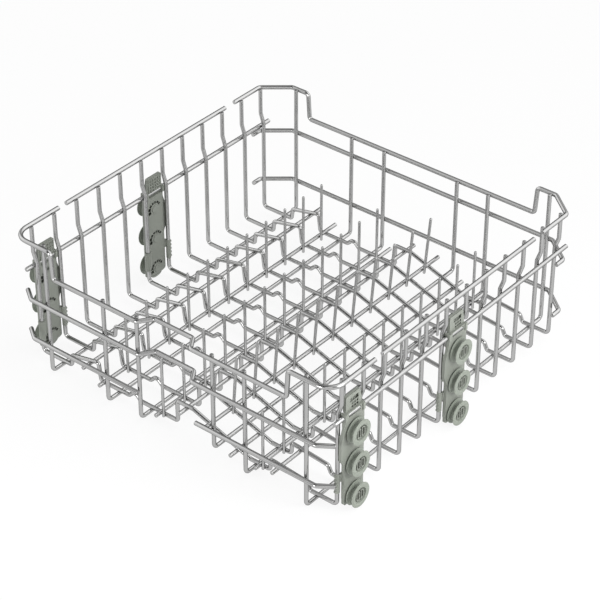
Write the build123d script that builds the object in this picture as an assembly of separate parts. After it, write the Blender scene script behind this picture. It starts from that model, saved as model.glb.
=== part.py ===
from build123d import *
import math
import os

# Upper dishwasher basket of welded, coated wire, on four clip-on roller brackets.
# Millimetres, +Z up. X runs along the two end walls, Y along the two side walls.
# The origin is the middle of the footprint, on the plane that the long wires stand on.
# The end wall at -Y has the recess for the spray arm's feed pipe.

# Wire diameters, measured across the flats of the wire's section
CROSS_WIRE = 5.4
LONG_WIRE = 5.4
RAIL_WIRE = 6.0
TINE_WIRE = 3.8
WIRE_SIDES = 6

# Cross wires: one pitch apart, each a wall, a stepped floor and the other wall
CROSS_COUNT = 12
PITCH = 40.0
CROSS_CENTRE_Y = -3.75
WALL_X = 245.2
LOWER_WALL_X = 240.2
TIP_HEIGHT = 187.0
JOG_TOP = 150.0
JOG_FOOT = 135.0
CORNER_LEG = 7.0

# Floor profile of a cross wire: places along X, and heights above the lowest run
LEFT_STEP_X = -192.0
LEFT_STEP_RUN = 4.0
LEFT_SHELF_HEIGHT = 16.0
PEAK_X = -144.0
PEAK_HEIGHT = 26.0
PEAK_FOOT_X = -137.0
HUMP_X = -81.0
HUMP_HALF_FOOT = 10.0
HUMP_HALF_TOP = 3.0
HUMP_HEIGHT = 7.0
RIDGE_X = -9.5
RIDGE_HEIGHT = 31.0
RIDGE_END_X = 15.0
SLOPE_END_X = 106.0
RIGHT_STEP_X = 138.0
RIGHT_STEP_RUN = 2.5
RIGHT_SHELF_HEIGHT = 15.5
RIGHT_SHELF_END_X = 195.0
RIGHT_SHELF_END_HEIGHT = 10.5
RIGHT_SHELF_FOOT_X = 200.0

# Long wires: end wall, floor and the other end wall, under the cross wires
END_WALL_BEYOND = 23.75
TALL_LONG_X = (-204.8, 210.1)
LOW_LONG_X = (-107.8, -52.7, 67.2, 116.9)
TIP_ABOVE_RIM = 2.0

# Straight wires along the floor, under the cross wires or on top of them
FLOOR_RAIL_X = (-156.3, 6.0, 87.0, 152.5)
TINE_BAR_X = (-129.5, -33.8, 46.6, 126.5)
FLOOR_RAIL_HALF = 238.25

# Tines: welded to the +X side of their bar, at a pitch of their own
TINE_COUNT = 12
TINE_PITCH = 39.0
TINE_CENTRE_Y = -13.35
TINE_FOOT_DROP = 2.5
TINE_TOP_RISE = 85.0
TINE_LEAN = (0.0, 0.0, 4.8, 0.0)

# Rails along the side walls, the two rims and the rails across the end walls
TOP_RAIL_SHORT = 67.0
RIM_BELOW_TIP = 1.0
RIM_DROP = 38.8
RIM_DROP_X = 188.0
RIM_DROP_RUN = 2.5
NEAR_RIM_BACK = 79.7
NEAR_RIM_CORNER = 22.0
FAR_RIM_BACK = 81.7
FAR_CORNER_X = 216.0
FAR_CORNER_BACK = 28.7
SIDE_RAIL_HEIGHT = 129.5
SIDE_RAIL_BEYOND = 18.0
FAR_RAIL_HEIGHTS = (117.5, 39.0)
FAR_RAIL_BACK = 44.2
NEAR_RAIL_HEIGHT = 98.5
NEAR_LOW_RAIL_HEIGHT = 38.5
NEAR_CORNER_X = 228.0
NEAR_TAIL_X = 250.0
NEAR_TAIL_BACK = 15.2
RECESS_CENTRE_X = -4.0
RECESS_HALF = 43.0
RECESS_FLOOR_HALF = 31.0
RECESS_DEPTH = 18.0
LOW_RAIL_GAP_HALF = 46.5

# Roller brackets, each clipped between two neighbouring cross wires
BRACKET_BAYS = (0, 5)
PLATE_GAP = 2.1
PLATE_THICKNESS = 4.0
PLATE_WIDTH = 36.0
PLATE_FOOT = 0.5
FOOT_LOBE_RADIUS = 16.0
PLATE_SHOULDER = 134.0
SHOULDER_SLOPE = 4.0
FOOT_CORNER = 5.0
HOOK_REACH = 6.0
HOOK_HEIGHTS = (60.0, 73.0, 98.0, 116.0)
TAB_WIDTH = 30.0
TAB_TOP = 159.0
PANEL_DEPTH = 3.0
PANEL_SIDE_GAP = 3.5
PANEL_TOP = 123.5
WIRE_CLEARANCE = 0.05
EAR_SPACING = 23.0
EAR_HEIGHT = 10.5
EAR_WALL = 1.8
TAB_SLOT = 14.0
TAB_SLOT_SIZE = 5.0
TAB_SLOT_HEIGHT = 150.0
TAB_HOLE = 2.8
TAB_HOLE_PITCH = 4.6
TAB_HOLE_HEIGHT = 140.0
CLIP_WALL = 2.0
CLIP_LENGTH = 26.0
CLIP_HEIGHTS = (42.0, 22.0)
CLIP_MOUTH = 2.4

# Rollers: three spools on each bracket, snapped on split stub axles
ROLLER_HEIGHTS = (11.5, 58.5, 105.0)
ROLLER_SIDES = 20
FLANGE_RADIUS = 16.8
INNER_FLANGE = 2.4
TREAD_RADIUS = 10.5
TREAD_WIDTH = 6.3
OUTER_FLANGE = 2.0
HUB_RECESS_RADIUS = 9.6
HUB_RECESS_DEPTH = 3.4
AXLE_RADIUS = 5.5
AXLE_CLEARANCE = 0.08
ROLLER_PLAY = 0.3
AXLE_HEAD_RADIUS = 7.4
AXLE_HEAD = 2.4
AXLE_SLOT = 2.4
AXLE_SLOT_DEPTH = 9.0
AXLE_HOLLOW_RADIUS = 3.4
AXLE_HOLLOW_DEPTH = 6.0
AXLE_DISC_RADIUS = 6.8
AXLE_DISC = 0.8

# Worked out from the values above
FLOOR_Z = LONG_WIRE + CROSS_WIRE / 2
RIM_HEIGHT = TIP_HEIGHT - RIM_BELOW_TIP
RIM_LOW_HEIGHT = RIM_HEIGHT - RIM_DROP
CROSS_Y = [CROSS_CENTRE_Y + (i - (CROSS_COUNT - 1) / 2) * PITCH for i in range(CROSS_COUNT)]
TINE_Y = [TINE_CENTRE_Y + (i - (TINE_COUNT - 1) / 2) * TINE_PITCH for i in range(TINE_COUNT)]
FLAT_REACH = math.tan(math.pi / WIRE_SIDES) / 2
VERTEX_REACH = 0.5 / math.cos(math.pi / WIRE_SIDES)
SLOPE = RIDGE_HEIGHT / (RIDGE_END_X - SLOPE_END_X)
TOP_RAIL_X = WALL_X + (CROSS_WIRE + RAIL_WIRE) / 2
LOWER_RAIL_X = LOWER_WALL_X + (CROSS_WIRE + RAIL_WIRE) / 2
CROSS_RUN_HALF = (CROSS_COUNT - 1) / 2 * PITCH
END_WALL_Y = CROSS_RUN_HALF + END_WALL_BEYOND
FAR_RAIL_Y = END_WALL_Y + (LONG_WIRE + RAIL_WIRE) / 2
NEAR_RAIL_Y = -FAR_RAIL_Y
TOP_RAIL_HALF = CROSS_RUN_HALF - TOP_RAIL_SHORT
SIDE_RAIL_HALF = CROSS_RUN_HALF + SIDE_RAIL_BEYOND
NEAR_RIM_END_Y = NEAR_RAIL_Y + NEAR_RIM_BACK
NEAR_TAIL_Y = NEAR_RAIL_Y + NEAR_TAIL_BACK
FAR_RIM_END_Y = FAR_RAIL_Y - FAR_RIM_BACK
FAR_CORNER_Y = FAR_RAIL_Y - FAR_CORNER_BACK
FAR_RAIL_END_Y = FAR_RAIL_Y - FAR_RAIL_BACK
PANEL_WIDTH = PITCH - 2 * PANEL_SIDE_GAP
PLATE_X = LOWER_WALL_X + CROSS_WIRE / 2 + PLATE_GAP
PLATE_FACE_X = PLATE_X + PLATE_THICKNESS
PANEL_X = PLATE_X - PANEL_DEPTH
ROLLER_WIDTH = INNER_FLANGE + TREAD_WIDTH + OUTER_FLANGE

os.makedirs("parts", exist_ok=True)


def save(name, shape):
    shape.label = name
    export_step(shape, f"parts/{name}.step")


def bent(points, leg):
    """The points of a path with each inner corner cut off, that far along both its runs."""
    path = [Vector(*p) for p in points]
    rounded = [path[0]]
    for before, corner, after in zip(path, path[1:], path[2:]):
        rounded += [corner + (side - corner).normalized() * leg for side in (before, after)]
    return rounded + [path[-1]]


def wire(points, diameter, flat_side):
    """A wire along straight runs with mitred corners. Its first run shows a flat to flat_side."""
    path = Polyline(*points)
    along = (Vector(*points[1]) - Vector(*points[0])).normalized()
    section_plane = Plane(origin=points[0], x_dir=along.cross(Vector(*flat_side)), z_dir=along)
    section = section_plane * RegularPolygon(diameter / 2, WIRE_SIDES, major_radius=False)
    return sweep(section, path=path, transition=Transition.RIGHT)


def floor_height(x):
    """Height and slope of a cross wire's centre line at x, on its runs that carry other wires."""
    if LEFT_STEP_X + LEFT_STEP_RUN < x < PEAK_X:
        run = PEAK_X - LEFT_STEP_X - LEFT_STEP_RUN
        slope = (PEAK_HEIGHT - LEFT_SHELF_HEIGHT) / run
        return LEFT_SHELF_HEIGHT + slope * (x - LEFT_STEP_X - LEFT_STEP_RUN), slope
    if RIDGE_X < x < RIDGE_END_X:
        return RIDGE_HEIGHT, 0.0
    if RIDGE_END_X <= x < SLOPE_END_X:
        return RIDGE_HEIGHT + SLOPE * (x - RIDGE_END_X), SLOPE
    if RIGHT_STEP_X + RIGHT_STEP_RUN < x < RIGHT_SHELF_END_X:
        run = RIGHT_SHELF_END_X - RIGHT_STEP_X - RIGHT_STEP_RUN
        slope = (RIGHT_SHELF_END_HEIGHT - RIGHT_SHELF_HEIGHT) / run
        return RIGHT_SHELF_HEIGHT + slope * (x - RIGHT_STEP_X - RIGHT_STEP_RUN), slope
    return 0.0, 0.0


def seat(x, diameter, side):
    """Height of a wire of that diameter, welded under (-1) or on top of (1) the cross wires at x."""
    height, slope = floor_height(x)
    tilt = math.atan(abs(slope))
    reach = CROSS_WIRE / 2 / math.cos(tilt) + diameter / 2 + diameter * FLAT_REACH * math.tan(tilt)
    return height + side * reach


def floor_rail(x, side):
    """A straight wire along the floor, under (-1) or on top of (1) the cross wires at x."""
    z = FLOOR_Z + seat(x, LONG_WIRE, side)
    return wire([(x, -FLOOR_RAIL_HALF, z), (x, FLOOR_RAIL_HALF, z)], LONG_WIRE, (0, 0, 1))


def side_wall_rail(x, height, half_length):
    """A straight rail along the outside of the +X wall, centred on the cross wires."""
    z = FLOOR_Z + height
    ends = [(x, CROSS_CENTRE_Y + side * half_length, z) for side in (-1, 1)]
    return wire(ends, RAIL_WIRE, (1, 0, 0))


def cross_wire():
    """One cross wire at y = 0: wall, low run, shelf, lower floor with a hump, ridge, slope, shelf, wall."""
    profile = [
        (-WALL_X, TIP_HEIGHT),
        (-WALL_X, JOG_TOP),
        (-LOWER_WALL_X, JOG_FOOT),
        (-LOWER_WALL_X, CORNER_LEG),
        (-LOWER_WALL_X + CORNER_LEG, 0),
        (LEFT_STEP_X, 0),
        (LEFT_STEP_X + LEFT_STEP_RUN, LEFT_SHELF_HEIGHT),
        (PEAK_X, PEAK_HEIGHT),
        (PEAK_FOOT_X, 0),
        (HUMP_X - HUMP_HALF_FOOT, 0),
        (HUMP_X - HUMP_HALF_TOP, HUMP_HEIGHT),
        (HUMP_X + HUMP_HALF_TOP, HUMP_HEIGHT),
        (HUMP_X + HUMP_HALF_FOOT, 0),
        (RIDGE_X, 0),
        (RIDGE_X, RIDGE_HEIGHT),
        (RIDGE_END_X, RIDGE_HEIGHT),
        (SLOPE_END_X, 0),
        (RIGHT_STEP_X, 0),
        (RIGHT_STEP_X + RIGHT_STEP_RUN, RIGHT_SHELF_HEIGHT),
        (RIGHT_SHELF_END_X, RIGHT_SHELF_END_HEIGHT),
        (RIGHT_SHELF_FOOT_X, 0),
        (LOWER_WALL_X - CORNER_LEG, 0),
        (LOWER_WALL_X, CORNER_LEG),
        (LOWER_WALL_X, JOG_FOOT),
        (WALL_X, JOG_TOP),
        (WALL_X, TIP_HEIGHT),
    ]
    return wire([(x, 0, FLOOR_Z + h) for x, h in profile], CROSS_WIRE, (1, 0, 0))


def long_wire(x, tip):
    """One long wire at x: end wall, floor under the cross wires, the other end wall."""
    floor = seat(x, LONG_WIRE, -1)
    corners = [(-END_WALL_Y, tip), (-END_WALL_Y, floor), (END_WALL_Y, floor), (END_WALL_Y, tip)]
    return wire(bent([(x, y, FLOOR_Z + h) for y, h in corners], CORNER_LEG), LONG_WIRE, (0, 1, 0))


def tine_row(bar_x, lean):
    """The tines of one row, beside their bar, leaning to +X by that many degrees."""
    base = seat(bar_x, LONG_WIRE, 1)
    x = bar_x + LONG_WIRE * VERTEX_REACH + TINE_WIRE / 2 / math.cos(math.radians(lean))
    shift = math.tan(math.radians(lean))
    foot = (x - shift * TINE_FOOT_DROP, 0, FLOOR_Z + base - TINE_FOOT_DROP)
    top = (x + shift * TINE_TOP_RISE, 0, FLOOR_Z + base + TINE_TOP_RISE)
    tine = wire([foot, top], TINE_WIRE, (1, 0, 0))
    return Compound(children=[Pos(0, y, 0) * tine for y in TINE_Y])


def mirrored(points):
    """The same path on the other side of x = 0, walked the other way."""
    return [(-x, y, z) for x, y, z in reversed(points)]


def recess(z):
    """The four corners of the recess in a rail across the near end wall."""
    left = [(-RECESS_HALF, 0), (-RECESS_FLOOR_HALF, RECESS_DEPTH)]
    right = [(-x, y) for x, y in reversed(left)]
    return [(RECESS_CENTRE_X + x, NEAR_RAIL_Y + y, z) for x, y in left + right]


def near_rim():
    """Rim at -Y: round corners, dropped between its ends, with the recess in its low run."""
    high = FLOOR_Z + RIM_HEIGHT
    low = FLOOR_Z + RIM_LOW_HEIGHT
    left = [(-TOP_RAIL_X, NEAR_RIM_END_Y, high)]
    for turn in (math.radians(degrees) for degrees in (0, 30, 60, 90)):
        inset = NEAR_RIM_CORNER * (1 - math.cos(turn))
        left.append((-TOP_RAIL_X + inset, NEAR_RAIL_Y + NEAR_RIM_CORNER * (1 - math.sin(turn)), high))
    left += [(-RIM_DROP_X, NEAR_RAIL_Y, high), (-RIM_DROP_X + RIM_DROP_RUN, NEAR_RAIL_Y, low)]
    return wire(left + recess(low) + mirrored(left), RAIL_WIRE, (1, 0, 0))


def far_rim():
    """Rim at +Y: angled corners, dropped between its ends."""
    high = FLOOR_Z + RIM_HEIGHT
    left = [
        (-TOP_RAIL_X, FAR_RIM_END_Y, high),
        (-TOP_RAIL_X, FAR_CORNER_Y, high),
        (-FAR_CORNER_X, FAR_RAIL_Y, high),
        (-RIM_DROP_X, FAR_RAIL_Y, high),
        (-RIM_DROP_X + RIM_DROP_RUN, FAR_RAIL_Y, FLOOR_Z + RIM_LOW_HEIGHT),
    ]
    return wire(left + mirrored(left), RAIL_WIRE, (1, 0, 0))


def far_rail(height):
    """A rail across the far end wall, with the rim's angled corners and free ends."""
    z = FLOOR_Z + height
    left = [(-TOP_RAIL_X, FAR_RAIL_END_Y, z), (-TOP_RAIL_X, FAR_CORNER_Y, z), (-FAR_CORNER_X, FAR_RAIL_Y, z)]
    return wire(left + mirrored(left), RAIL_WIRE, (1, 0, 0))


def near_corner(height):
    """The left end of a rail across the near end wall: a free tail, bent back round the corner."""
    z = FLOOR_Z + height
    return [(-NEAR_TAIL_X, NEAR_TAIL_Y, z), (-NEAR_CORNER_X, NEAR_RAIL_Y, z)]


def near_rail():
    """The rail across the near end wall that follows the rim's recess."""
    left = near_corner(NEAR_RAIL_HEIGHT)
    return wire(left + recess(FLOOR_Z + NEAR_RAIL_HEIGHT) + mirrored(left), RAIL_WIRE, (1, 0, 0))


def near_low_rail(side):
    """The low rail across one half of the near end wall, up to the recess."""
    left = near_corner(NEAR_LOW_RAIL_HEIGHT)
    inner = (side * LOW_RAIL_GAP_HALF + RECESS_CENTRE_X, NEAR_RAIL_Y, FLOOR_Z + NEAR_LOW_RAIL_HEIGHT)
    ends = left if side < 0 else [(-x, y, z) for x, y, z in left]
    return wire(ends + [inner], RAIL_WIRE, (1, 0, 0))


def plate_outline():
    """The bracket's outline across Y and up Z: rounded feet, a hook over one wire and a narrower tab."""
    half = PLATE_WIDTH / 2
    tab = TAB_WIDTH / 2
    hook_foot, hook_low, hook_high, hook_top = HOOK_HEIGHTS
    corners = [
        (-half, PLATE_FOOT),
        (half, PLATE_FOOT),
        (half, PLATE_SHOULDER - SHOULDER_SLOPE),
        (tab, PLATE_SHOULDER),
        (tab, TAB_TOP),
        (-tab, TAB_TOP),
        (-tab, PLATE_SHOULDER),
        (-half, PLATE_SHOULDER - SHOULDER_SLOPE),
        (-half, hook_top),
        (-half - HOOK_REACH, hook_high),
        (-half - HOOK_REACH, hook_low),
        (-half, hook_foot),
    ]
    outline = make_face(Polyline(*corners, close=True))
    feet = outline.vertices().sort_by(Axis.Y)[:2]
    return fillet(feet, FOOT_CORNER)


def block(x0, x1, y0, y1, h0, h1):
    """A box between those places, with heights above the floor wires."""
    size = (x1 - x0, y1 - y0, h1 - h0)
    return Pos((x0 + x1) / 2, (y0 + y1) / 2, FLOOR_Z + (h0 + h1) / 2) * Box(*size)


def along_x(radius, x0, x1, height, sides=0):
    """A round bar, or one of that many sides, along X between those places."""
    section = RegularPolygon(radius, sides) if sides else Circle(radius)
    return extrude(Plane((x0, 0, FLOOR_Z + height), x_dir=(0, 1, 0), z_dir=(1, 0, 0)) * section, amount=x1 - x0)


def clip(side, height):
    """A split sleeve round the cross wire at one side of the plate."""
    bore = CROSS_WIRE * VERTEX_REACH + WIRE_CLEARANCE
    wire_y = side * PITCH / 2
    reach = bore + CLIP_WALL
    low = height - CLIP_LENGTH / 2
    high = height + CLIP_LENGTH / 2
    inner_y, outer_y = sorted((wire_y - side * reach, wire_y + side * reach))
    body = block(LOWER_WALL_X - reach, PLATE_X, inner_y, outer_y, low, high)
    body += block(PLATE_X, PLATE_FACE_X, *sorted((side * PLATE_WIDTH / 2, wire_y + side * reach)), low, high)
    hole = Pos(LOWER_WALL_X, wire_y, FLOOR_Z + height) * Cylinder(bore, CLIP_LENGTH)
    mouth = block(LOWER_WALL_X - CLIP_MOUTH / 2, LOWER_WALL_X + CLIP_MOUTH / 2,
                  *sorted((wire_y, wire_y + side * (reach + 1))), low, high)
    return body - hole - mouth


def bracket():
    """A roller bracket at y = 0 on the +X wall: plate, panel, tab, ears round the rail, clips, stub axles."""
    plane = Plane((PLATE_X, 0, FLOOR_Z), x_dir=(0, 1, 0), z_dir=(1, 0, 0))
    body = extrude(plane * plate_outline(), amount=PLATE_THICKNESS)
    body += along_x(FOOT_LOBE_RADIUS, PLATE_X, PLATE_FACE_X, ROLLER_HEIGHTS[0])
    body += block(PANEL_X, PLATE_X, -PANEL_WIDTH / 2, PANEL_WIDTH / 2, PLATE_FOOT + FOOT_CORNER, PANEL_TOP)
    rail_half = RAIL_WIRE * VERTEX_REACH + WIRE_CLEARANCE
    rail_depth = LOWER_RAIL_X + RAIL_WIRE / 2 + WIRE_CLEARANCE
    for near_y, far_y in ((-PLATE_WIDTH / 2, -EAR_SPACING / 2), (EAR_SPACING / 2, PLATE_WIDTH / 2)):
        body += block(PLATE_X, rail_depth + EAR_WALL, near_y, far_y,
                      SIDE_RAIL_HEIGHT - EAR_HEIGHT / 2, SIDE_RAIL_HEIGHT + EAR_HEIGHT / 2)
    body -= block(PLATE_X, rail_depth, -PITCH, PITCH, SIDE_RAIL_HEIGHT - rail_half, SIDE_RAIL_HEIGHT + rail_half)
    body -= block(PLATE_X, PLATE_FACE_X, -TAB_SLOT / 2, TAB_SLOT / 2,
                  TAB_SLOT_HEIGHT - TAB_SLOT_SIZE / 2, TAB_SLOT_HEIGHT + TAB_SLOT_SIZE / 2)
    for y in (-TAB_HOLE_PITCH, 0, TAB_HOLE_PITCH):
        body -= block(PLATE_X, PLATE_FACE_X, y - TAB_HOLE / 2, y + TAB_HOLE / 2,
                      TAB_HOLE_HEIGHT - TAB_HOLE / 2, TAB_HOLE_HEIGHT + TAB_HOLE / 2)
    body += [clip(side, height) for side, height in zip((-1, 1), CLIP_HEIGHTS)]
    neck = ROLLER_PLAY + ROLLER_WIDTH - HUB_RECESS_DEPTH + ROLLER_PLAY
    for height in ROLLER_HEIGHTS:
        head_x = PLATE_FACE_X + neck
        axle = along_x(AXLE_RADIUS, PLATE_FACE_X, head_x, height)
        axle += along_x(AXLE_HEAD_RADIUS, head_x, head_x + AXLE_HEAD, height)
        end = head_x + AXLE_HEAD
        axle -= block(end - AXLE_SLOT_DEPTH, end + 1, -AXLE_SLOT / 2, AXLE_SLOT / 2,
                      height - AXLE_HEAD_RADIUS, height + AXLE_HEAD_RADIUS)
        axle -= along_x(AXLE_HOLLOW_RADIUS, end - AXLE_HOLLOW_DEPTH, end, height)
        body += axle + along_x(AXLE_DISC_RADIUS, PANEL_X - AXLE_DISC, PANEL_X, height)
    return body


def roller(height):
    """A spool roller at y = 0 on the +X wall: two flanges, a tread between them and a recessed hub."""
    x0 = PLATE_FACE_X + ROLLER_PLAY
    x1 = x0 + INNER_FLANGE
    x2 = x1 + TREAD_WIDTH
    x3 = x2 + OUTER_FLANGE
    body = along_x(FLANGE_RADIUS, x0, x1, height, ROLLER_SIDES)
    body += along_x(TREAD_RADIUS, x1, x2, height, ROLLER_SIDES)
    body += along_x(FLANGE_RADIUS, x2, x3, height, ROLLER_SIDES)
    body -= along_x(HUB_RECESS_RADIUS, x3 - HUB_RECESS_DEPTH, x3, height, ROLLER_SIDES)
    return body - along_x(AXLE_RADIUS + AXLE_CLEARANCE, x0, x3, height)


def both_sides(name, shape):
    """The shape on the +X wall, and its mirror image on the -X wall."""
    save(f"{name}_right", shape)
    save(f"{name}_left", mirror(shape, about=Plane.YZ))


one_cross_wire = cross_wire()
for number, y in enumerate(CROSS_Y, 1):
    save(f"cross_wire_{number:02d}", Pos(0, y, 0) * one_cross_wire)

long_wires = [(x, RIM_HEIGHT + TIP_ABOVE_RIM) for x in TALL_LONG_X]
long_wires += [(x, RIM_LOW_HEIGHT + TIP_ABOVE_RIM) for x in LOW_LONG_X]
for number, (x, tip) in enumerate(sorted(long_wires), 1):
    save(f"long_wire_{number}", long_wire(x, tip))

for number, x in enumerate(FLOOR_RAIL_X, 1):
    save(f"floor_rail_{number}", floor_rail(x, -1))

for number, (x, lean) in enumerate(zip(TINE_BAR_X, TINE_LEAN), 1):
    save(f"tine_bar_{number}", floor_rail(x, 1))
    save(f"tine_row_{number}", tine_row(x, lean))

both_sides("top_rail", side_wall_rail(TOP_RAIL_X, RIM_HEIGHT, TOP_RAIL_HALF))
both_sides("side_rail", side_wall_rail(LOWER_RAIL_X, SIDE_RAIL_HEIGHT, SIDE_RAIL_HALF))
save("near_rim", near_rim())
save("far_rim", far_rim())
for label, height in zip(("upper", "lower"), FAR_RAIL_HEIGHTS):
    save(f"far_rail_{label}", far_rail(height))
save("near_rail", near_rail())
save("near_low_rail_left", near_low_rail(-1))
save("near_low_rail_right", near_low_rail(1))

one_bracket = bracket()
rollers = [(label, roller(height)) for label, height in zip(("low", "middle", "high"), ROLLER_HEIGHTS)]
for place, bay in zip(("near", "middle"), BRACKET_BAYS):
    bay_y = (CROSS_Y[bay] + CROSS_Y[bay + 1]) / 2
    for side, turn in (("right", 0), ("left", 180)):
        at = Pos(0, bay_y, 0) * Rot(0, 0, turn)
        save(f"bracket_{place}_{side}", at * one_bracket)
        for label, shape in rollers:
            save(f"roller_{place}_{label}_{side}", at * shape)
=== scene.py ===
import math

import bpy
from mathutils import Matrix, Vector


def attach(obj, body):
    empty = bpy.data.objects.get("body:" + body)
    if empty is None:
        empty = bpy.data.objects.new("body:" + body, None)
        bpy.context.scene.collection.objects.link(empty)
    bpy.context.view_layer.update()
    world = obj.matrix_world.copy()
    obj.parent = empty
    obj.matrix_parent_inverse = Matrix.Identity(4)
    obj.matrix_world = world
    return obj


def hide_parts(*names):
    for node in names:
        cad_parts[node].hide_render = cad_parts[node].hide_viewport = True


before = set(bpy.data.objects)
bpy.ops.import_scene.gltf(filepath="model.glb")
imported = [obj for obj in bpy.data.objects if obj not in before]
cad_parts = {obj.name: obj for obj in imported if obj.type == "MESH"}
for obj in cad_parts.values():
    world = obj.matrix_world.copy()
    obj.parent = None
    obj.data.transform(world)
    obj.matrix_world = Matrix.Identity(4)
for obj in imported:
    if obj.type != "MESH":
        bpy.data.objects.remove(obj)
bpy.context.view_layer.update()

# The layout, in millimetres. Heights count from the centre line of the floor wires.
MM = 0.001
FLOOR_Z = 8.1
CROSS_WIRE = 5.4
LONG_WIRE = 5.4
RAIL_WIRE = 6.0
TINE_WIRE = 3.8

# How far two wires are pressed into each other at a weld, under the coat
FLOOR_WELD = 1.3
TINE_WELD = 0.5

# How far the coat rounds the cut end of a wire and the tip of a tine
CUT_ROUND = 0.5
TINE_ROUND = 1.5

# Cross wires, end walls and the rails outside them
CROSS_COUNT = 12
CROSS_PITCH = 40.0
CROSS_FIRST_Y = -223.75
CROSS_Y = [CROSS_FIRST_Y + CROSS_PITCH * number for number in range(CROSS_COUNT)]
END_WALL_Y = 243.75
TOP_RAIL_X = 250.9
LOWER_RAIL_X = 245.9
RAIL_Y = 249.45

# A cross wire from the left wall's tip to the right wall's tip: place along X, height, bend radius
CROSS_WIRE_BENDS = [
    (-245.2, 187.0, 0), (-245.2, 150.0, 9), (-240.2, 135.0, 9), (-240.2, 0.0, 6),
    (-190.2, 0.0, 4), (-188.6, 16.0, 3.4), (-142.4, 26.3, 3.4), (-139.0, 0.0, 4),
    (-91.0, 0.0, 4.5), (-84.0, 7.0, 3.4), (-78.0, 7.0, 3.4), (-71.0, 0.0, 4.5),
    (-9.5, 0.0, 4), (-9.5, 31.0, 3.4), (17.0, 31.0, 6), (108.0, 0.0, 6),
    (138.3, 0.0, 4), (139.4, 15.5, 3.4), (195.0, 10.5, 4), (200.0, 0.0, 4),
    (240.2, 0.0, 6), (240.2, 135.0, 9), (245.2, 150.0, 9), (245.2, 187.0, 0),
]

# Long wires under the cross wires: place along X and height of their tips
LONG_WIRES = [
    (-204.8, 188.0), (-107.8, 149.2), (-52.7, 149.2),
    (67.2, 149.2), (116.9, 149.2), (210.1, 188.0),
]
LONG_WIRE_BEND = 6

# Straight wires along the floor, under the cross wires or on top of them: place along X
FLOOR_RAIL_X = (-156.3, 6.0, 87.0, 152.5)
TINE_BAR_X = (-129.5, -33.8, 46.6, 126.5)
FLOOR_RAIL_HALF = 238.25

# Tines stand beside their bars, on the +X side, the third row leaning over
TINE_COUNT = 12
TINE_FIRST_Y = -227.85
TINE_PITCH = 39.0
TINE_LEANS = (0.0, 0.0, 4.8, 0.0)
TINE_FOOT = 6.0
TINE_TOP = 85.0

# Rims of the end walls: their height, and the dip between the two corners
RIM_HEIGHT = 186.0
DIP_HEIGHT = 147.2
DIP_TOP_X = 188.0
DIP_FOOT_X = 185.5
DIP_BEND = 5
NEAR_RIM_END_Y = -169.75
NEAR_RIM_BEND = 22
FAR_RIM_END_Y = 167.75

# Rails along the side walls: place along X, height, near end and far end along Y
SIDE_WALL_RAILS = {
    "top_rail": (TOP_RAIL_X, RIM_HEIGHT, -156.75, 149.25),
    "side_rail": (LOWER_RAIL_X, 129.5, -237.5, 234.25),
}

# Rails of the far end wall, and the slanting corners that they share with the far rim
FAR_RAIL_HEIGHTS = {"upper": 117.5, "lower": 39.0}
FAR_RAIL_END_Y = 205.25
FAR_CORNER_X = 216.0
FAR_CORNER_Y = 220.75
FAR_CORNER_BEND = 7

# Rails of the near end wall: their slanting tails, and the inner ends of the two low ones
NEAR_RAIL_HEIGHT = 98.5
NEAR_LOW_RAIL_HEIGHT = 38.5
NEAR_LOW_RAIL_ENDS = {"left": -50.5, "right": 42.5}
NEAR_TAIL_X = 247.4
NEAR_TAIL_Y = -236.0
NEAR_CORNER_X = 228.0
NEAR_CORNER_BEND = 6

# The recess for the feed pipe in the near end: the places of its bends along X and how far in it goes
RECESS_X = (-47, -35, 27, 39)
RECESS_DEPTH = 18
RECESS_BEND = 6

# Roller brackets and their rollers on the +X wall
BRACKET_Y = {"near": -203.75, "middle": -3.75}
ROLLER_HEIGHTS = {"low": 11.5, "middle": 58.5, "high": 105.0}
PLATE_INNER_X = 245.0
PLATE_OUTER_X = 249.0
PANEL_INNER_X = 242.0
PANEL_THICKNESS = 0.4
SIDE_TURNS = {"right": 0, "left": 180}

# Degrees to one straight step of a bend, and the most of a straight run that a bend takes up
ARC_STEP = 11
RUN_SHARE = 0.48

# Points closer than this, in metres, are one point
MERGE_DISTANCE = 0.00001

# Edges that turn by fewer degrees than this are shaded smooth
WIRE_SMOOTH = math.radians(50)
BRACKET_SMOOTH = math.radians(40)
ROLLER_SMOOTH = math.radians(35)


def linear(hex_colour):
    """An sRGB hex colour as linear red, green and blue, with full alpha."""
    parts = [int(hex_colour[i:i + 2], 16) / 255 for i in (1, 3, 5)]
    return [c / 12.92 if c <= 0.04045 else ((c + 0.055) / 1.055) ** 2.4 for c in parts] + [1.0]


def add_node(tree, kind, settings, sockets):
    """One node with its own settings; each socket gets a value or a link from another node's output."""
    made = tree.nodes.new(kind)
    for field, value in settings.items():
        setattr(made, field, value)
    for socket, value in sockets.items():
        if isinstance(value, bpy.types.NodeSocket):
            tree.links.new(value, made.inputs[socket])
        else:
            made.inputs[socket].default_value = value
    return made


def new_material(name):
    """An empty node material and its tree."""
    material = bpy.data.materials.new(name)
    material.use_nodes = True
    material.node_tree.nodes.clear()
    return material, material.node_tree


def per_mm(size):
    """Texture scale at which one unit of a pattern is that many millimetres."""
    return 1.0 / (size * MM)


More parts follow.
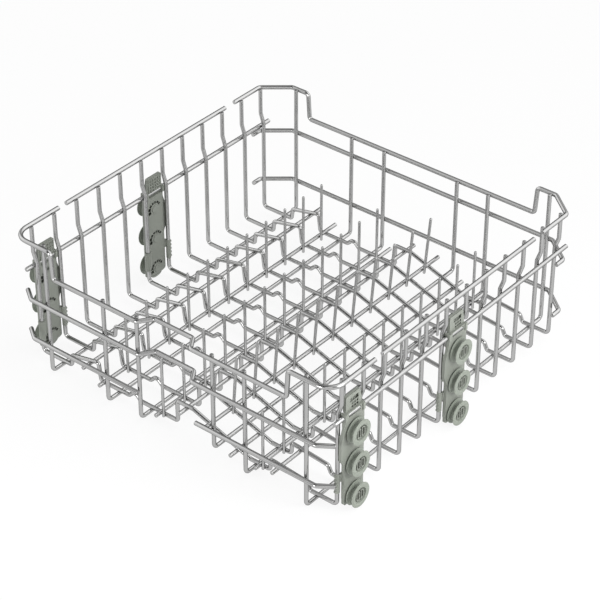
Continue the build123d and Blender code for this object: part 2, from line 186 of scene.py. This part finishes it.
def coated_steel_wire():
    """Steel wire dipped in grey nylon: an even satin coat, a little uneven where it flowed and set."""
    material, tree = new_material("grey_nylon_coated_steel_wire")
    place = add_node(tree, "ShaderNodeTexCoord", {}, {}).outputs["Object"]
    # The coat flows thicker and thinner over lengths of about 30 mm
    flow = add_node(tree, "ShaderNodeTexNoise", {}, {
        "Vector": place, "Scale": per_mm(30), "Detail": 3.0})
    # Orange peel, really under 1 mm, drawn at 2.5 mm so that it shows
    peel = add_node(tree, "ShaderNodeTexNoise", {}, {
        "Vector": place, "Scale": per_mm(2.5), "Detail": 2.0})
    colour = add_node(tree, "ShaderNodeMix", {"data_type": "RGBA"}, {
        0: flow.outputs["Fac"], 6: linear("#AFAFAF"), 7: linear("#BABAB9")})
    gloss = add_node(tree, "ShaderNodeMapRange", {}, {
        "Value": peel.outputs["Fac"], "To Min": 0.15, "To Max": 0.22})
    bump = add_node(tree, "ShaderNodeBump", {}, {
        "Height": peel.outputs["Fac"], "Strength": 0.05, "Distance": 0.1 * MM})
    # The coat has the sheen of a metal, and its edges go darker, as in the photograph
    shader = add_node(tree, "ShaderNodeBsdfPrincipled", {}, {
        "Base Color": colour.outputs[2], "Roughness": gloss.outputs["Result"],
        "Normal": bump.outputs["Normal"], "Metallic": 1.0, "Specular Tint": linear("#8A8A8A")})
    add_node(tree, "ShaderNodeOutputMaterial", {}, {"Surface": shader.outputs["BSDF"]})
    return material


def moulded_plastic(name, dark, light):
    """Moulded polypropylene: matt, a fine spark-eroded grain and faint flow marks."""
    material, tree = new_material(name)
    place = add_node(tree, "ShaderNodeTexCoord", {}, {}).outputs["Object"]
    # Flow marks a few centimetres long from the mould's gate
    flow = add_node(tree, "ShaderNodeTexNoise", {}, {
        "Vector": place, "Scale": per_mm(25), "Detail": 3.0})
    # The grain is really about 0.1 mm, drawn at 0.9 mm so that it shows
    grain = add_node(tree, "ShaderNodeTexNoise", {}, {
        "Vector": place, "Scale": per_mm(0.9), "Detail": 2.0})
    colour = add_node(tree, "ShaderNodeMix", {"data_type": "RGBA"}, {
        0: flow.outputs["Fac"], 6: linear(dark), 7: linear(light)})
    gloss = add_node(tree, "ShaderNodeMapRange", {}, {
        "Value": grain.outputs["Fac"], "To Min": 0.42, "To Max": 0.6})
    bump = add_node(tree, "ShaderNodeBump", {}, {
        "Height": grain.outputs["Fac"], "Strength": 0.15, "Distance": 0.1 * MM})
    shader = add_node(tree, "ShaderNodeBsdfPrincipled", {}, {
        "Base Color": colour.outputs[2], "Roughness": gloss.outputs["Result"],
        "Normal": bump.outputs["Normal"], "IOR": 1.49})
    add_node(tree, "ShaderNodeOutputMaterial", {}, {"Surface": shader.outputs["BSDF"]})
    return material


WIRE_COAT = coated_steel_wire()
BRACKET_PLASTIC = moulded_plastic("sage_grey_polypropylene_bracket", "#7E827A", "#898D85")
ROLLER_PLASTIC = moulded_plastic("sage_grey_polypropylene_roller", "#7F857B", "#898F85")


def only(piece):
    """Selects one object and makes it active."""
    bpy.ops.object.select_all(action="DESELECT")
    piece.select_set(True)
    bpy.context.view_layer.objects.active = piece


def finish_piece(piece, name, material, body, nodes):
    """Names a finished piece, gives it its finish, hangs it on the body it rides on and hides the nodes it
    stands for.
    """
    piece.name = name
    piece.data.name = name
    piece.data.materials.clear()
    piece.data.materials.append(material)
    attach(piece, body)
    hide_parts(*nodes)


def finish_wire(wire, node):
    """Finishes a wire of the basket, which stands for that node."""
    finish_piece(wire, "round_" + node, WIRE_COAT, "basket", [node])


def copied(piece, shift=(0, 0, 0), turn=0.0):
    """A copy with its own mesh, turned about the upright axis in degrees and then moved in millimetres."""
    twin = piece.copy()
    twin.data = piece.data.copy()
    bpy.context.collection.objects.link(twin)
    turned_round = Matrix.Rotation(math.radians(turn), 4, "Z")
    twin.data.transform(Matrix.Translation(Vector(shift) * MM) @ turned_round)
    return twin


def bent_line(bends):
    """Points along a wire's centre line, with an arc of its own radius at each inner bend."""
    line = [Vector(bends[0][:3])]
    for before, bend, after in zip(bends, bends[1:], bends[2:]):
        corner = Vector(bend[:3])
        back = Vector(before[:3]) - corner
        on = Vector(after[:3]) - corner
        turn = math.pi - back.angle(on)
        leg = min(bend[3] * math.tan(turn / 2), RUN_SHARE * back.length, RUN_SHARE * on.length)
        radius = leg / math.tan(turn / 2)
        inwards = (back.normalized() + on.normalized()).normalized()
        middle = corner + inwards * radius / math.cos(turn / 2)
        start = corner + back.normalized() * leg - middle
        axis = start.cross(corner + on.normalized() * leg - middle)
        steps = max(3, math.ceil(math.degrees(turn) / ARC_STEP))
        line += [middle + Matrix.Rotation(turn * i / steps, 3, axis) @ start for i in range(steps + 1)]
    return line + [Vector(bends[-1][:3])]


def add_line(curve, places, closed):
    """Draws straight legs from place to place into a curve, and gives back its points."""
    spline = curve.splines.new("POLY")
    spline.use_cyclic_u = closed
    spline.points.add(len(places) - 1)
    for point, place in zip(spline.points, places):
        point.co = (*(place * MM), 1.0)
    return spline.points


def as_mesh(curve):
    """A curve made a mesh, as a new object that is selected and active."""
    made = bpy.data.objects.new(curve.name, curve)
    bpy.context.collection.objects.link(made)
    only(made)
    bpy.ops.object.convert(target="MESH")
    return bpy.context.object


def close_seams():
    """Merges the doubled points of the active mesh and turns its faces outwards."""
    bpy.ops.object.mode_set(mode="EDIT")
    bpy.ops.mesh.select_all(action="SELECT")
    bpy.ops.mesh.remove_doubles(threshold=MERGE_DISTANCE)
    bpy.ops.mesh.normals_make_consistent(inside=False)
    bpy.ops.object.mode_set(mode="OBJECT")


def rounded_end(tip, inner, diameter, end_round):
    """Places from the tip of a wire inwards, each with its share of the wire's full width."""
    inward = (inner - tip).normalized()
    places = []
    for step in (90, 65, 40, 20, 0):
        turn = math.radians(step)
        width = 1 - 2 * end_round * (1 - math.cos(turn)) / diameter
        places.append((tip + inward * end_round * (1 - math.sin(turn)), width))
    return places


def round_wire(bends, diameter, end_round=CUT_ROUND):
    """A round wire along its bends, its cut ends a little rounded by the coat."""
    line = bent_line([(x, y, FLOOR_Z + height, radius) for x, y, height, radius in bends])
    first_end = rounded_end(line[0], line[1], diameter, end_round)
    last_end = rounded_end(line[-1], line[-2], diameter, end_round)
    places = first_end + [(place, 1.0) for place in line[1:-1]] + last_end[::-1]
    curve = bpy.data.curves.new("wire", "CURVE")
    curve.dimensions = "3D"
    curve.bevel_depth = diameter / 2 * MM
    curve.bevel_resolution = 5
    curve.use_fill_caps = True
    points = add_line(curve, [place for place, width in places], False)
    for point, (place, width) in zip(points, places):
        point.radius = width
    wire = as_mesh(curve)
    close_seams()
    bpy.ops.object.shade_smooth_by_angle(angle=WIRE_SMOOTH)
    return wire


def seat(x, side):
    """Height of a straight wire that lies under (-1) or on top of (1) the cross wires at x."""
    for (x0, h0, _), (x1, h1, _) in zip(CROSS_WIRE_BENDS, CROSS_WIRE_BENDS[1:]):
        if x0 < x < x1:
            slope = (h1 - h0) / (x1 - x0)
            reach = ((CROSS_WIRE + LONG_WIRE) / 2 - FLOOR_WELD) * math.hypot(1, slope)
            return h0 + slope * (x - x0) + side * reach


# Cross wires: one is bent, the others are its copies
cross_bends = [(x, 0, height, radius) for x, height, radius in CROSS_WIRE_BENDS]
one_cross_wire = round_wire(cross_bends, CROSS_WIRE)
for number, y in enumerate(CROSS_Y, 1):
    finish_wire(copied(one_cross_wire, (0, y, 0)), f"cross_wire_{number:02d}")
bpy.data.objects.remove(one_cross_wire)

# Long wires
for number, (x, tip) in enumerate(LONG_WIRES, 1):
    foot = seat(x, -1)
    long_bends = [
        (x, -END_WALL_Y, tip, 0), (x, -END_WALL_Y, foot, LONG_WIRE_BEND),
        (x, END_WALL_Y, foot, LONG_WIRE_BEND), (x, END_WALL_Y, tip, 0)]
    finish_wire(round_wire(long_bends, LONG_WIRE), f"long_wire_{number}")

# Straight wires along the floor
for kind, places, side in (("floor_rail", FLOOR_RAIL_X, -1), ("tine_bar", TINE_BAR_X, 1)):
    for number, x in enumerate(places, 1):
        ends = [(x, y, seat(x, side), 0) for y in (-FLOOR_RAIL_HALF, FLOOR_RAIL_HALF)]
        finish_wire(round_wire(ends, LONG_WIRE), f"{kind}_{number}")

# Tines: one of each row, then the row as an array along its bar
for number, (bar_x, lean) in enumerate(zip(TINE_BAR_X, TINE_LEANS), 1):
    height = seat(bar_x, 1)
    shift = math.tan(math.radians(lean))
    x = bar_x + ((LONG_WIRE + TINE_WIRE) / 2 - TINE_WELD) / math.cos(math.radians(lean))
    ends = [
        (x - shift * TINE_FOOT, TINE_FIRST_Y, height - TINE_FOOT, 0),
        (x + shift * TINE_TOP, TINE_FIRST_Y, height + TINE_TOP, 0)]
    row = round_wire(ends, TINE_WIRE, TINE_ROUND)
    array = row.modifiers.new("row", "ARRAY")
    array.use_relative_offset = False
    array.use_constant_offset = True
    array.constant_offset_displace = (0, TINE_PITCH * MM, 0)
    array.count = TINE_COUNT
    only(row)
    bpy.ops.object.modifier_apply(modifier="row")
    finish_wire(row, f"tine_row_{number}")


def other_side(bends):
    """The same bends on the other side of x = 0, walked the other way."""
    return [(-x, y, height, radius) for x, y, height, radius in reversed(bends)]


def recess(height):
    """The four bends of the recess for the feed pipe."""
    bottom_y = RECESS_DEPTH - RAIL_Y
    places = zip(RECESS_X, (-RAIL_Y, bottom_y, bottom_y, -RAIL_Y))
    return [(x, y, height, RECESS_BEND) for x, y in places]


def near_tail(side, height):
    """The slanting tail at one end of a near rail, from its cut end to the bend at the corner."""
    return [(side * NEAR_TAIL_X, NEAR_TAIL_Y, height, 0),
            (side * NEAR_CORNER_X, -RAIL_Y, height, NEAR_CORNER_BEND)]


def far_corner(height):
    """The two bends of a slanting corner of the far end, on the left."""
    return [(-TOP_RAIL_X, FAR_CORNER_Y, height, FAR_CORNER_BEND),
            (-FAR_CORNER_X, RAIL_Y, height, FAR_CORNER_BEND)]


def dip(y):
    """The two bends by which a rim goes down into its dip, on the left."""
    return [(-DIP_TOP_X, y, RIM_HEIGHT, DIP_BEND), (-DIP_FOOT_X, y, DIP_HEIGHT, DIP_BEND)]


# Rails along the side walls
for name, (x, height, near, far) in SIDE_WALL_RAILS.items():
    rail = round_wire([(x, near, height, 0), (x, far, height, 0)], RAIL_WIRE)
    finish_wire(copied(rail, (-2 * x, 0, 0)), f"{name}_left")
    finish_wire(rail, f"{name}_right")

# Rims and rails of the end walls
near_rim_end = [
    (-TOP_RAIL_X, NEAR_RIM_END_Y, RIM_HEIGHT, 0),
    (-TOP_RAIL_X, -RAIL_Y, RIM_HEIGHT, NEAR_RIM_BEND)] + dip(-RAIL_Y)
near_rim = near_rim_end + recess(DIP_HEIGHT) + other_side(near_rim_end)
finish_wire(round_wire(near_rim, RAIL_WIRE), "near_rim")

far_rim_end = [(-TOP_RAIL_X, FAR_RIM_END_Y, RIM_HEIGHT, 0)] + far_corner(RIM_HEIGHT) + dip(RAIL_Y)
finish_wire(round_wire(far_rim_end + other_side(far_rim_end), RAIL_WIRE), "far_rim")

for name, height in FAR_RAIL_HEIGHTS.items():
    far_rail_end = [(-TOP_RAIL_X, FAR_RAIL_END_Y, height, 0)] + far_corner(height)
    finish_wire(round_wire(far_rail_end + other_side(far_rail_end), RAIL_WIRE), f"far_rail_{name}")

near_rail_end = near_tail(-1, NEAR_RAIL_HEIGHT)
near_rail = near_rail_end + recess(NEAR_RAIL_HEIGHT) + other_side(near_rail_end)
finish_wire(round_wire(near_rail, RAIL_WIRE), "near_rail")
for name, inner in NEAR_LOW_RAIL_ENDS.items():
    tail = near_tail(math.copysign(1, inner), NEAR_LOW_RAIL_HEIGHT)
    inner_end = (inner, -RAIL_Y, NEAR_LOW_RAIL_HEIGHT, 0)
    finish_wire(round_wire(tail + [inner_end], RAIL_WIRE), f"near_low_rail_{name}")


def cut_sheet(outline, holes, across, soft):
    """A moulded sheet, across X from the first place to the second, with its edges softened.

    Outline and holes are places along Y with heights and corner radii.
    """
    x0, x1 = across
    curve = bpy.data.curves.new("sheet", "CURVE")
    curve.dimensions = "2D"
    curve.fill_mode = "BOTH"
    curve.extrude = (x1 - x0) / 2 * MM
    for corners in [outline] + holes:
        line = bent_line([(y, height, 0, radius) for y, height, radius in corners])
        add_line(curve, line[:-1], True)
    sheet = as_mesh(curve)
    sheet.location = ((x0 + x1) / 2 * MM, 0, FLOOR_Z * MM)
    sheet.rotation_euler = (math.pi / 2, 0, math.pi / 2)
    bpy.ops.object.transform_apply(location=True, rotation=True, scale=True)
    close_seams()
    edges = sheet.modifiers.new("soft_edges", "BEVEL")
    edges.width = soft * MM
    edges.segments = 2
    edges.limit_method = "ANGLE"
    edges.angle_limit = math.radians(60)
    bpy.ops.object.modifier_apply(modifier="soft_edges")
    return sheet


def square(y, height, size, turn=0.0, radius=0.3):
    """The outline of a small square hole, turned by that many degrees."""
    corners = [Matrix.Rotation(math.radians(turn), 2) @ Vector(place) * size / 2
               for place in ((0, -1), (1, -1), (1, 1), (-1, 1), (-1, -1), (0, -1))]
    return [(y + place.x, height + place.y, radius) for place in corners]


def oblong(along, heights, radius):
    """The outline of a level oblong, walked from the middle of its lower side."""
    y0, y1 = along
    h0, h1 = heights
    middle = (y0 + y1) / 2
    return [
        (middle, h0, 0), (y1, h0, radius), (y1, h1, radius),
        (y0, h1, radius), (y0, h0, radius), (middle, h0, 0)]


def soft_block(across, along, heights, soft):
    """A block with all its edges rounded, from where to where along X, along Y and in height."""
    x0, x1 = across
    y0, y1 = along
    h0, h1 = heights
    bpy.ops.object.select_all(action="DESELECT")
    bpy.ops.mesh.primitive_cube_add(size=1, location=(
        (x0 + x1) / 2 * MM, (y0 + y1) / 2 * MM, (FLOOR_Z + (h0 + h1) / 2) * MM))
    made = bpy.context.object
    made.scale = ((x1 - x0) * MM, (y1 - y0) * MM, (h1 - h0) * MM)
    bpy.ops.object.transform_apply(location=True, rotation=True, scale=True)
    bpy.ops.object.mode_set(mode="EDIT")
    bpy.ops.mesh.select_all(action="SELECT")
    bpy.ops.mesh.bevel(offset=soft * MM, segments=2, affect="EDGES")
    bpy.ops.object.mode_set(mode="OBJECT")
    return made


def turned(section, centre, axis, steps):
    """A ring turned about an axis. Its closed section is given as places along the axis and radii."""
    out = Vector((0, 0, 1)) if axis.x else Vector((1, 0, 0))
    curve = bpy.data.curves.new("turned", "CURVE")
    curve.dimensions = "3D"
    add_line(curve, [Vector(centre) + axis * along + out * radius for along, radius in section], True)
    made = as_mesh(curve)
    bpy.ops.object.mode_set(mode="EDIT")
    bpy.ops.mesh.select_all(action="SELECT")
    bpy.ops.mesh.spin(steps=steps, angle=2 * math.pi, center=Vector(centre) * MM, axis=axis)
    bpy.ops.object.mode_set(mode="OBJECT")
    close_seams()
    return made


def prong_outline(side, height, flat, out, half, bow, corner=0.5):
    """The outline of an axle's prong or of its hollow: flat along the slit, bowed on the outside."""
    corners = (
        (flat, 0, 0), (flat, -half, corner), (out, -half, bow),
        (out, half, bow), (flat, half, corner), (flat, 0, 0))
    return [(side * y, height + rise, radius) for y, rise, radius in corners]


def joined(pieces):
    """Several pieces as one, shaded smooth over gentle edges."""
    only(pieces[0])
    for piece in pieces:
        piece.select_set(True)
    bpy.ops.object.join()
    bpy.ops.object.shade_smooth_by_angle(angle=BRACKET_SMOOTH)
    whole = bpy.context.object
    flats = whole.modifiers.new("flat_faces_stay_flat", "WEIGHTED_NORMAL")
    flats.keep_sharp = True
    bpy.ops.object.modifier_apply(modifier="flat_faces_stay_flat")
    return whole


ALONG_X = Vector((1, 0, 0))
UPRIGHT = Vector((0, 0, 1))

# The bracket's plate: a hook over one wire, a window on the side rail and a round lobe under the low axle
plate_outline = [
    (0, 134.8, 0), (16.4, 134.8, 1.5), (18, 131.6, 2), (18, 0.5, 5), (11.6, 0.5, 2), (8.5, -2.5, 5),
    (4, -4.5, 8), (-4, -4.5, 8), (-8.5, -2.5, 5), (-11.6, 0.5, 2), (-18, 0.5, 5), (-18, 60, 9),
    (-24, 74, 9), (-24, 97, 9), (-18, 116, 8), (-18, 131.6, 2), (-16.4, 134.8, 1.5), (0, 134.8, 0)]
PLATE_X = (PLATE_INNER_X, PLATE_OUTER_X)
rail_window = oblong((-10.4, 11.2), (127.4, 133.2), radius=0.5)
pockets = [oblong((-11.4, 13), (height - 11.6, height + 12.2), radius=11.4)
           for height in ROLLER_HEIGHTS.values()]
bracket_pieces = [cut_sheet(plate_outline, [rail_window] + pockets, PLATE_X, soft=0.9)]

# The thin panel on its inner side, in a rounded surround, with a crescent of square openings at each axle
CRESCENT_RADIUS = 10
CRESCENT_Y = 1.5
CRESCENT_RISE = 0.3
CRESCENT_TURNS = (-18, 14, 43, 71, 98, 124, 149)
CRESCENT_SIZES = (5, 4.8, 3.9, 3.5, 3.5, 3.4, 3.2)
openings = []
for height in ROLLER_HEIGHTS.values():
    for turn, size in zip(CRESCENT_TURNS, CRESCENT_SIZES):
        away = Matrix.Rotation(math.radians(turn), 2) @ Vector((CRESCENT_RADIUS, 0))
        openings.append(square(CRESCENT_Y + away.x, height + CRESCENT_RISE + away.y, size, turn))
PANEL_X = (PANEL_INNER_X, PANEL_INNER_X + PANEL_THICKNESS)
panel_outline = oblong((-12.9, 15.1), (4.4, 123.6), radius=3.4)
bracket_pieces.append(cut_sheet(panel_outline, openings, PANEL_X, soft=0.1))
SURROUND_X = (PANEL_INNER_X + 0.15, 245.4)
surround_outline = oblong((-14.8, 17), (2.6, 125.4), radius=5)
surround_opening = oblong((-11.4, 13.6), (6, 122), radius=3)
bracket_pieces.append(cut_sheet(surround_outline, [surround_opening], SURROUND_X, soft=1.9))

# Ears round the side rail, on the outer face and on the inner face
OUTER_EAR_X = (245.2, 250.7)
OUTER_EAR_HEIGHTS = (124.2, 134.8)
INNER_EAR_X = (240.8, 246)
INNER_EAR_HEIGHTS = (124.6, 134.4)
for along in ((-18.4, -13), (14, 18.6)):
    bracket_pieces.append(soft_block(OUTER_EAR_X, along, OUTER_EAR_HEIGHTS, soft=1.2))
for along in ((-17.6, -14), (12.5, 17.6)):
    bracket_pieces.append(soft_block(INNER_EAR_X, along, INNER_EAR_HEIGHTS, soft=1))

# The tab, in line with the rail: a thin outer face with a slot and holes, and a closed back with ribs
TAB_RIM_X = (242.2, 245.7)
TAB_FACE_X = (245.4, 246)
TAB_BACK_X = (242, 242.5)
RIB_X = (240.8, 242.8)
RIB_HALF = 0.6
RIB_SOFT = 0.25
tab_outline = [
    (0, 155.8, 0), (13, 155.8, 2), (16, 142, 6), (16.4, 132.7, 1),
    (-13, 132.7, 1), (-13, 155.8, 2), (0, 155.8, 0)]
tab_opening = oblong((-11, 11.4), (134.4, 153.6), radius=1)
tab_slot = oblong((-5.2, 10.2), (144.6, 150.6), radius=0.6)
tab_holes = [square(y, height, size=3.4) for y in (-0.6, 3.9, 8.4) for height in (137, 141.4)]
bracket_pieces.append(cut_sheet(tab_outline, [tab_opening], TAB_RIM_X, soft=0.5))
bracket_pieces.append(cut_sheet(tab_outline, [tab_slot] + tab_holes, TAB_FACE_X, soft=0.2))
bracket_pieces.append(soft_block(TAB_BACK_X, (-11.6, 11.8), (134, 154), soft=0.15))
for y in (-11.4, -6.9, -2.3, 2.3, 6.9, 11.4):
    bracket_pieces.append(soft_block(RIB_X, (y - RIB_HALF, y + RIB_HALF), (133.6, 154.4), RIB_SOFT))
for height in (134.2, 139.2, 144.2, 149.2, 154):
    rib_heights = (height - RIB_HALF, height + RIB_HALF)
    bracket_pieces.append(soft_block(RIB_X, (-11.8, 11.8), rib_heights, RIB_SOFT))

# Lip inside the hook, behind the wire
bracket_pieces.append(soft_block((244, 245.6), (-22.5, -17), (66, 106), soft=0.6))

# Sleeves on the two cross wires, each with a web to the plate: a slim one with teeth and a stepped one
SLEEVE_X = 240.2
WEB_X = (241.6, 245.4)
TOOTH_X = (238, 242.4)
TOOTH_Y = (-24.4, -21.6)
TOOTH_COUNT = 5
FIRST_TOOTH = 19
TOOTH_PITCH = 5.7
TOOTH_HEIGHT = 3.2
toothed_sleeve = [(18, 2.6), (18, 3), (18.4, 3.3), (46.6, 3.3), (47, 3), (47, 2.6)]
stepped_sleeve = [
    (17, 2.6), (17, 3.2), (21, 4.1), (24, 4.4), (39.6, 4.4),
    (40, 4.8), (45.5, 4.8), (46, 4.4), (46, 2.6)]
for number in range(TOOTH_COUNT):
    foot = FIRST_TOOTH + TOOTH_PITCH * number
    bracket_pieces.append(soft_block(TOOTH_X, TOOTH_Y, (foot, foot + TOOTH_HEIGHT), soft=0.8))
for section, y, web_y, web_heights in (
        (toothed_sleeve, -20, (-19.5, -14), (36, 47)), (stepped_sleeve, 20, (14, 19.5), (22, 45))):
    bracket_pieces.append(turned(section, (SLEEVE_X, y, FLOOR_Z), UPRIGHT, steps=28))
    bracket_pieces.append(soft_block(WEB_X, web_y, web_heights, soft=0.6))

# Stub axles: a tube that ends in two hollow prongs wider than the roller's bore, and a disc on the panel
PRONG_X = (253.8, 259.2)
DISC_X = PANEL_INNER_X + 0.2
DISC_RADIUS = 6.3
DISC_THICKNESS = 2
axle_tube = [(242.2, 5.3), (254.2, 5.3), (254.2, 3.4), (242.2, 3.4)]
for height in ROLLER_HEIGHTS.values():
    bracket_pieces.append(turned(axle_tube, (0, 0, FLOOR_Z + height), ALONG_X, steps=40))
    for side in (-1, 1):
        prong = prong_outline(side, height, flat=1.1, out=6.9, half=6.7, bow=5.7)
        hollow = prong_outline(side, height, flat=2.1, out=5.8, half=5.5, bow=3.6)
        bracket_pieces.append(cut_sheet(prong, [hollow], PRONG_X, soft=0.25))
    bpy.ops.object.select_all(action="DESELECT")
    bpy.ops.mesh.primitive_cylinder_add(
        vertices=40, radius=DISC_RADIUS * MM, depth=DISC_THICKNESS * MM, rotation=(0, math.pi / 2, 0),
        location=(DISC_X * MM, 0, (FLOOR_Z + height) * MM))
    bpy.ops.object.transform_apply(location=True, rotation=True, scale=True)
    bpy.ops.object.mode_set(mode="EDIT")
    bpy.ops.mesh.select_mode(type="EDGE")
    bpy.ops.mesh.select_all(action="DESELECT")
    bpy.ops.mesh.edges_select_sharp(sharpness=math.radians(60))
    bpy.ops.mesh.bevel(offset=0.4 * MM, segments=2, affect="EDGES")
    bpy.ops.object.mode_set(mode="OBJECT")
    bracket_pieces.append(bpy.context.object)

# One bracket is modelled; the left ones are the same part turned half round
one_bracket = joined(bracket_pieces)
for place, y in BRACKET_Y.items():
    for side, turn in SIDE_TURNS.items():
        node = f"bracket_{place}_{side}"
        finish_piece(copied(one_bracket, (0, y, 0), turn), f"moulded_{node}", BRACKET_PLASTIC,
                     "basket", [node])
bpy.data.objects.remove(one_bracket)

# Rollers: a thin outer flange with a cone behind it, a deep groove, an inner flange and a recessed hub
roller_section = [
    (250.0, 5.65), (250.0, 12.6), (250.3, 13), (250.4, 16.2), (250.7, 16.7),
    (251.1, 16.8), (251.5, 16.7), (251.8, 16.2), (252.0, 9.4), (252.4, 8.8),
    (255.8, 8.8), (256.4, 9.3), (258.7, 16.2), (258.9, 16.6), (259.2, 16.8),
    (259.7, 16.6), (259.9, 16.1), (260.0, 10.6), (259.8, 10.2), (259.4, 10),
    (258.6, 9.9), (256.6, 8.6), (253.6, 8), (253.4, 7.6), (253.4, 5.65)]
for label, height in ROLLER_HEIGHTS.items():
    one_roller = turned(roller_section, (0, 0, FLOOR_Z + height), ALONG_X, steps=72)
    bpy.ops.object.shade_smooth_by_angle(angle=ROLLER_SMOOTH)
    for place, y in BRACKET_Y.items():
        for side, turn in SIDE_TURNS.items():
            node = f"roller_{place}_{label}_{side}"
            finish_piece(copied(one_roller, (0, y, 0), turn), f"spool_{node}", ROLLER_PLASTIC,
                         node, [node])
    bpy.data.objects.remove(one_roller)

# Floor: white paper, lit to white for the eye and for reflections, keeping a soft part of the shadow
WHITE_SHARE = 0.86
PAPER_SIZE = 80
PAPER_LEVEL = -0.0006
material, tree = new_material("white_studio_paper")
seen = add_node(tree, "ShaderNodeLightPath", {}, {}).outputs
eye_or_mirror = add_node(tree, "ShaderNodeMath", {"operation": "MAXIMUM"}, {
    0: seen["Is Camera Ray"], 1: seen["Is Glossy Ray"]})
any_seen = add_node(tree, "ShaderNodeMath", {"operation": "MAXIMUM"}, {
    0: eye_or_mirror.outputs["Value"], 1: seen["Is Transmission Ray"]})
share = add_node(tree, "ShaderNodeMath", {"operation": "MULTIPLY"}, {
    0: any_seen.outputs["Value"], 1: WHITE_SHARE})
paper = add_node(tree, "ShaderNodeBsdfDiffuse", {}, {"Color": linear("#FBFBFB")})
white = add_node(tree, "ShaderNodeEmission", {}, {"Color": linear("#FFFFFF"), "Strength": 1.0})
shader = add_node(tree, "ShaderNodeMixShader", {}, {
    0: share.outputs["Value"], 1: paper.outputs["BSDF"], 2: white.outputs["Emission"]})
add_node(tree, "ShaderNodeOutputMaterial", {}, {"Surface": shader.outputs["Shader"]})
bpy.ops.object.select_all(action="DESELECT")
bpy.ops.mesh.primitive_plane_add(size=PAPER_SIZE, location=(0, 0, PAPER_LEVEL))
floor = bpy.context.object
floor.name = "studio_floor"
floor.data.materials.append(material)

# World: a dim light tent with bright walls at the far right and the left, and a weaker one near the camera
TENT_GLOW = 0.09
# Each wall's direction, the cosines where it begins and where it is full, and its strength
TENT_WALLS = (
    ((0.45, 0.7, 0.55), 0.35, 0.95, 1.51),
    ((-0.95, -0.25, 0.3), 0.5, 1.0, 1.5),
    ((0.65, -0.75, 0.05), 0.6, 1.0, 0.5))
world = bpy.data.worlds.new("studio")
bpy.context.scene.world = world
world.use_nodes = True
tree = world.node_tree
tree.nodes.clear()
direction = add_node(tree, "ShaderNodeTexCoord", {}, {}).outputs["Generated"]
glow = TENT_GLOW
for towards, begins, full, strength in TENT_WALLS:
    facing = add_node(tree, "ShaderNodeVectorMath", {"operation": "DOT_PRODUCT"}, {
        0: direction, 1: Vector(towards).normalized()})
    wall = add_node(tree, "ShaderNodeMapRange", {"interpolation_type": "SMOOTHSTEP"}, {
        "Value": facing.outputs["Value"], "From Min": begins, "From Max": full,
        "To Min": 0.0, "To Max": strength})
    glow = add_node(tree, "ShaderNodeMath", {"operation": "ADD"}, {
        0: glow, 1: wall.outputs["Result"]}).outputs["Value"]
tent = add_node(tree, "ShaderNodeBackground", {}, {"Color": linear("#FFFFFF"), "Strength": glow})
add_node(tree, "ShaderNodeOutputWorld", {}, {"Surface": tent.outputs["Background"]})

# Soft lamps: by the right-hand brackets, on the camera's side, before the near end, behind the far end
LAMP_AIM = Vector((0.1, 0, 0.08))
# Each lamp's power, size and place
LAMPS = {
    "right": (2.1, 0.3, (0.72, -0.1, 0.36)),
    "camera": (1.8, 0.8, (0.95, -1.1, 1.0)),
    "near": (8.5, 0.6, (0.1, -1.7, 0.45)),
    "back": (1.2, 1.4, (0.95, 1.1, 0.95)),
}
for name, (energy, size, spot) in LAMPS.items():
    soft_box = bpy.data.lights.new(name + "_soft_box", "AREA")
    soft_box.energy = energy
    soft_box.size = size
    lamp = bpy.data.objects.new(name + "_soft_box", soft_box)
    bpy.context.collection.objects.link(lamp)
    lamp.location = spot
    lamp.rotation_euler = (LAMP_AIM - lamp.location).to_track_quat("-Z", "Y").to_euler()

# Camera, from the photograph's view
CAMERA_PLACE = (1.473165, -1.80017, 1.71563)
CAMERA_TILT = math.radians(54.75)
CAMERA_TURN = math.radians(39.27)
camera = bpy.data.cameras.new("camera")
camera.sensor_width = 36
camera.lens = 133.97
camera.clip_end = 100
view = bpy.data.objects.new("camera", camera)
bpy.context.collection.objects.link(view)
view.location = CAMERA_PLACE
view.rotation_euler = (CAMERA_TILT, 0, CAMERA_TURN)
bpy.context.scene.camera = view
bpy.context.scene.view_settings.view_transform = "Standard"
